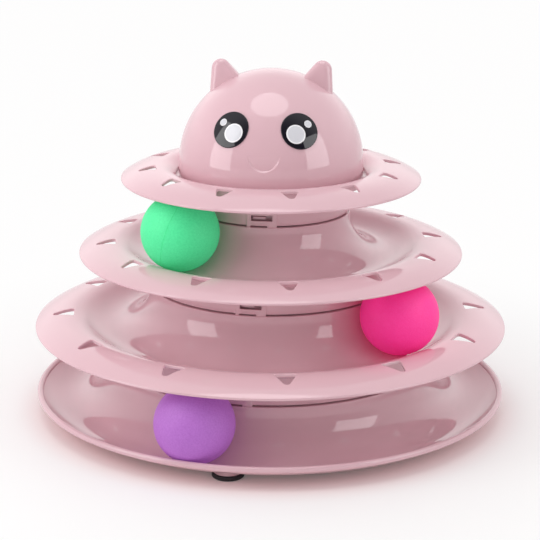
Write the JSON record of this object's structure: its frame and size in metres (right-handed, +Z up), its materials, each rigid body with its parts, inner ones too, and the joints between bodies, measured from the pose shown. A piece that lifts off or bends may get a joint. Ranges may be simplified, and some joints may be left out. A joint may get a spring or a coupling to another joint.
{
  "type": "cat ball track toy",
  "caption": "Tower of round slotted ball tracks with a loose ball in each one and a domed cat head with two ears on top.",
  "frame": {"origin": "On the ground, under the axis of the tower, between the treads of the four rubber feet.", "axes": "+Z up. The front of the toy, where the face looks, is -Y. +X is the right-hand side for someone who faces the toy."},
  "size_m": [0.25, 0.25, 0.1873],
  "materials": {
    "pink_plastic": "glossy injection moulded plastic, pale pink",
    "purple_ball": "matt plastic with a fine grain, violet",
    "pink_ball": "matt plastic with a fine grain, bright pink",
    "green_ball": "matt plastic with a fine grain, light green",
    "black_rubber": "soft black rubber",
    "eye_black": "glossy black sticker",
    "eye_white": "glossy white print on the sticker"
  },
  "bodies": {
    "base": {"base_tray": "pink_plastic", "front_foot": "black_rubber", "right_foot": "black_rubber", "back_foot": "black_rubber", "left_foot": "black_rubber"},
    "lower_tier": {"lower_tray": "pink_plastic"},
    "upper_tier": {"upper_tray": "pink_plastic"},
    "top_tier": {"top_brim": "pink_plastic"},
    "head": {"head_dome": "pink_plastic", "left_eye": "eye_black", "left_eye_large_spot": "eye_white", "left_eye_small_spot": "eye_white", "right_eye": "eye_black", "right_eye_large_spot": "eye_white", "right_eye_small_spot": "eye_white"},
    "purple_ball": {"purple_ball_front_half": "purple_ball", "purple_ball_back_half": "purple_ball"},
    "pink_ball": {"pink_ball_front_half": "pink_ball", "pink_ball_back_half": "pink_ball"},
    "green_ball": {"green_ball_left_half": "green_ball", "green_ball_right_half": "green_ball"}
  },
  "joints": [
    {"name": "lower_twist", "type": "hinge", "parent": "base", "child": "lower_tier", "pos_m": [0, 0, 0], "axis": [0, 0, -1], "range_deg": [0, 20]},
    {"name": "upper_twist", "type": "hinge", "parent": "lower_tier", "child": "upper_tier", "pos_m": [0, 0, 0], "axis": [0, 0, -1], "range_deg": [0, 20]},
    {"name": "brim_twist", "type": "hinge", "parent": "upper_tier", "child": "top_tier", "pos_m": [0, 0, 0], "axis": [0, 0, -1], "range_deg": [0, 20]},
    {"name": "head_twist", "type": "hinge", "parent": "top_tier", "child": "head", "pos_m": [0, 0, 0], "axis": [0, 0, -1], "range_deg": [0, 20]},
    {"name": "purple_orbit", "type": "hinge", "parent": "base", "child": "purple_ball", "pos_m": [0, 0, 0], "axis": [0, 0, 1], "continuous": true},
    {"name": "pink_orbit", "type": "hinge", "parent": "lower_tier", "child": "pink_ball", "pos_m": [0, 0, 0], "axis": [0, 0, 1], "continuous": true},
    {"name": "green_orbit", "type": "hinge", "parent": "upper_tier", "child": "green_ball", "pos_m": [0, 0, 0], "axis": [0, 0, 1], "continuous": true}
  ]
}
